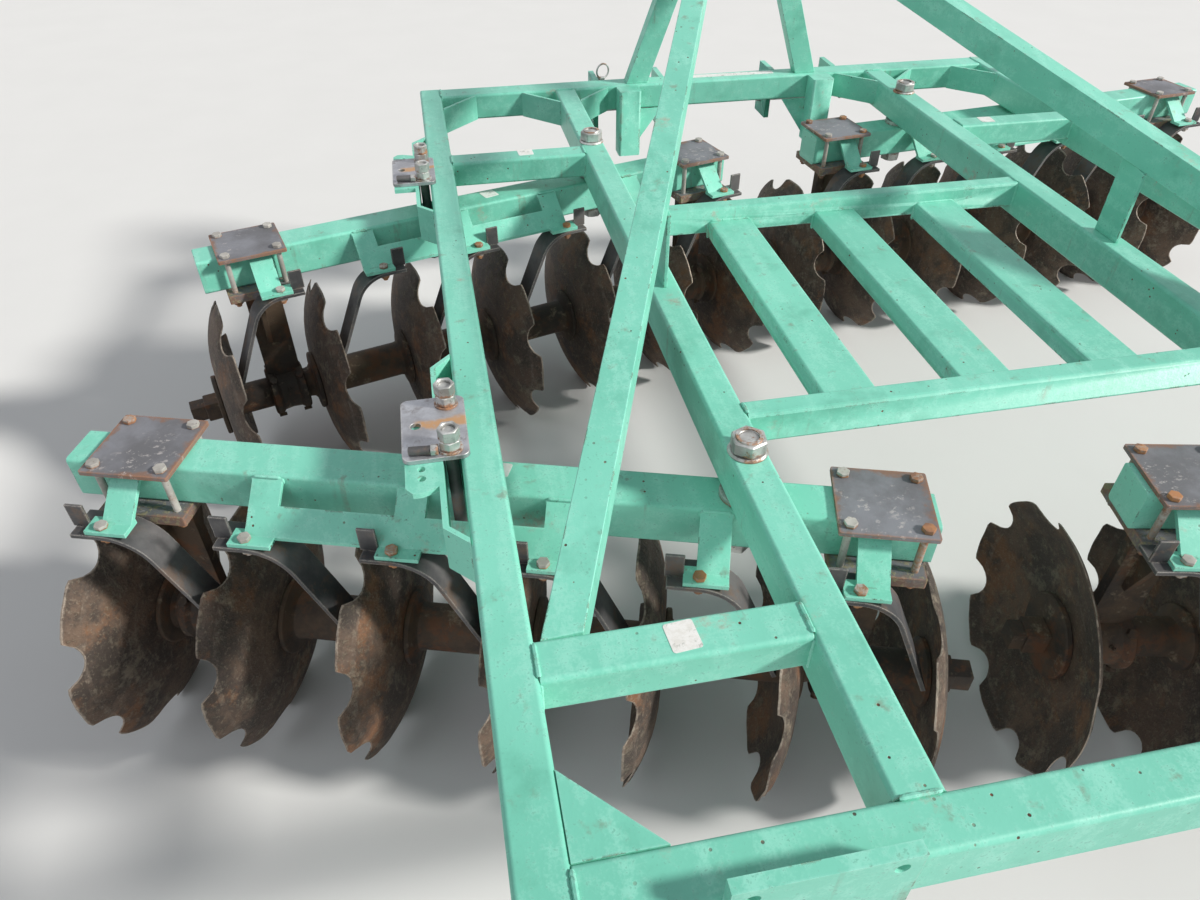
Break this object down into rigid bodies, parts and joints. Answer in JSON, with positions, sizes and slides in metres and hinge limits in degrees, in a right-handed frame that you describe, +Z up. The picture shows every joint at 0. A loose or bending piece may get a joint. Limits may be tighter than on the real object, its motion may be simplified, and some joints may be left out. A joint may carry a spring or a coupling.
{
  "type": "mounted offset disc harrow",
  "caption": "Green mounted offset disc harrow with a box frame, three-point mast and angled gangs of notched discs with scrapers, worn and rusty.",
  "frame": {"origin": "centre of the bounding box's bottom face, on the ground", "axes": "+Z up, +Y towards the tractor, +X to the right across the machine, its longest extent"},
  "size_m": [3.2753, 2.4934, 1.295],
  "materials": {
    "green_paint": "worn gloss with rust at edges",
    "rusty_plate": "dark mill scale with rust",
    "spring_steel": "dark, scuffed",
    "disc_steel": "rusted, worn bright at the edges",
    "spool_iron": "dark, earthy",
    "zinc": "dull zinc with rust streaks"
  },
  "bodies": {
    "frame": {"outer_beam_left": "green_paint", "outer_beam_right": "green_paint", "inner_beam_left": "green_paint", "inner_beam_right": "green_paint", "front_beam": "green_paint", "rear_beam": "green_paint", "cross_tubes": "green_paint", "ladder": "green_paint", "corner_plates": "green_paint", "mast_leg_left": "green_paint", "mast_leg_right": "green_paint", "mast_head": "green_paint", "brace_left": "green_paint", "brace_right": "green_paint", "strut_plates": "green_paint", "hitch_lugs": "green_paint", "hitch_pins": "zinc", "rear_brackets": "green_paint", "slot_bars": "green_paint", "pivot_bolts": "zinc"},
    "gang_1": {"gang_1_beam": "green_paint", "gang_1_hangers": "rusty_plate", "gang_1_brackets": "green_paint", "gang_1_scrapers": "spring_steel"},
    "lock_1": {"lock_1": "zinc"},
    "axle_1": {"axle_1_discs": "disc_steel", "axle_1_spools": "spool_iron"},
    "gang_2": {"gang_2_beam": "green_paint", "gang_2_hangers": "rusty_plate", "gang_2_brackets": "green_paint", "gang_2_scrapers": "spring_steel"},
    "lock_2": {"lock_2": "zinc"},
    "axle_2": {"axle_2_discs": "disc_steel", "axle_2_spools": "spool_iron"},
    "gang_3": {"gang_3_beam": "green_paint", "gang_3_hangers": "rusty_plate", "gang_3_brackets": "green_paint", "gang_3_scrapers": "spring_steel"},
    "lock_3": {"lock_3": "zinc"},
    "axle_3": {"axle_3_discs": "disc_steel", "axle_3_spools": "spool_iron"},
    "gang_4": {"gang_4_beam": "green_paint", "gang_4_hangers": "rusty_plate", "gang_4_brackets": "green_paint", "gang_4_scrapers": "spring_steel"},
    "lock_4": {"lock_4": "zinc"},
    "axle_4": {"axle_4_discs": "disc_steel", "axle_4_spools": "spool_iron"}
  },
  "joints": [
    {"name": "gang_1_angle", "type": "hinge", "parent": "frame", "child": "gang_1", "pos_m": [-0.494, 0.646, 0.62], "axis": [0, 0, 1], "range_deg": [-15.9, 4.1]},
    {"name": "lock_1_slide", "type": "slide", "parent": "frame", "child": "lock_1", "axis": [0, 1, 0], "range_m": [-0.033, 0.1265]},
    {"name": "axle_1_spin", "type": "hinge", "parent": "gang_1", "child": "axle_1", "pos_m": [-0.77002, 0.56737, 0.255], "axis": [0.9617, 0.274, 0], "continuous": true},
    {"name": "gang_2_angle", "type": "hinge", "parent": "frame", "child": "gang_2", "pos_m": [0.482, 0.856, 0.62], "axis": [0, 0, 1], "range_deg": [-7, 13]},
    {"name": "lock_2_slide", "type": "slide", "parent": "frame", "child": "lock_2", "axis": [0, 1, 0], "range_m": [-0.056, 0.1035]},
    {"name": "axle_2_spin", "type": "hinge", "parent": "gang_2", "child": "axle_2", "pos_m": [0.86909, 0.90353, 0.255], "axis": [0.9925, 0.1219, 0], "continuous": true},
    {"name": "gang_3_angle", "type": "hinge", "parent": "frame", "child": "gang_3", "pos_m": [0.482, -0.774, 0.62], "axis": [0, 0, 1], "range_deg": [-8, 12]},
    {"name": "lock_3_slide", "type": "slide", "parent": "frame", "child": "lock_3", "axis": [0, 1, 0], "range_m": [-0.0639, 0.0956]},
    {"name": "axle_3_spin", "type": "hinge", "parent": "gang_3", "child": "axle_3", "pos_m": [0.81261, -0.84427, 0.255], "axis": [0.9781, -0.2079, 0], "continuous": true},
    {"name": "gang_4_angle", "type": "hinge", "parent": "frame", "child": "gang_4", "pos_m": [-0.494, -0.619, 0.62], "axis": [0, 0, 1], "range_deg": [-2.5, 17.5]},
    {"name": "lock_4_slide", "type": "slide", "parent": "frame", "child": "lock_4", "axis": [0, 1, 0], "range_m": [-0.1392, 0.0203]},
    {"name": "axle_4_spin", "type": "hinge", "parent": "gang_4", "child": "axle_4", "pos_m": [-0.85832, -0.50413, 0.255], "axis": [0.9537, -0.3007, 0], "continuous": true}
  ],
  "couplings": [
    {"joint": "lock_1_slide", "follows": "gang_1_angle", "m_per_rad": -0.454},
    {"joint": "lock_2_slide", "follows": "gang_2_angle", "m_per_rad": 0.454},
    {"joint": "lock_3_slide", "follows": "gang_3_angle", "m_per_rad": 0.454},
    {"joint": "lock_4_slide", "follows": "gang_4_angle", "m_per_rad": -0.454}
  ]
}
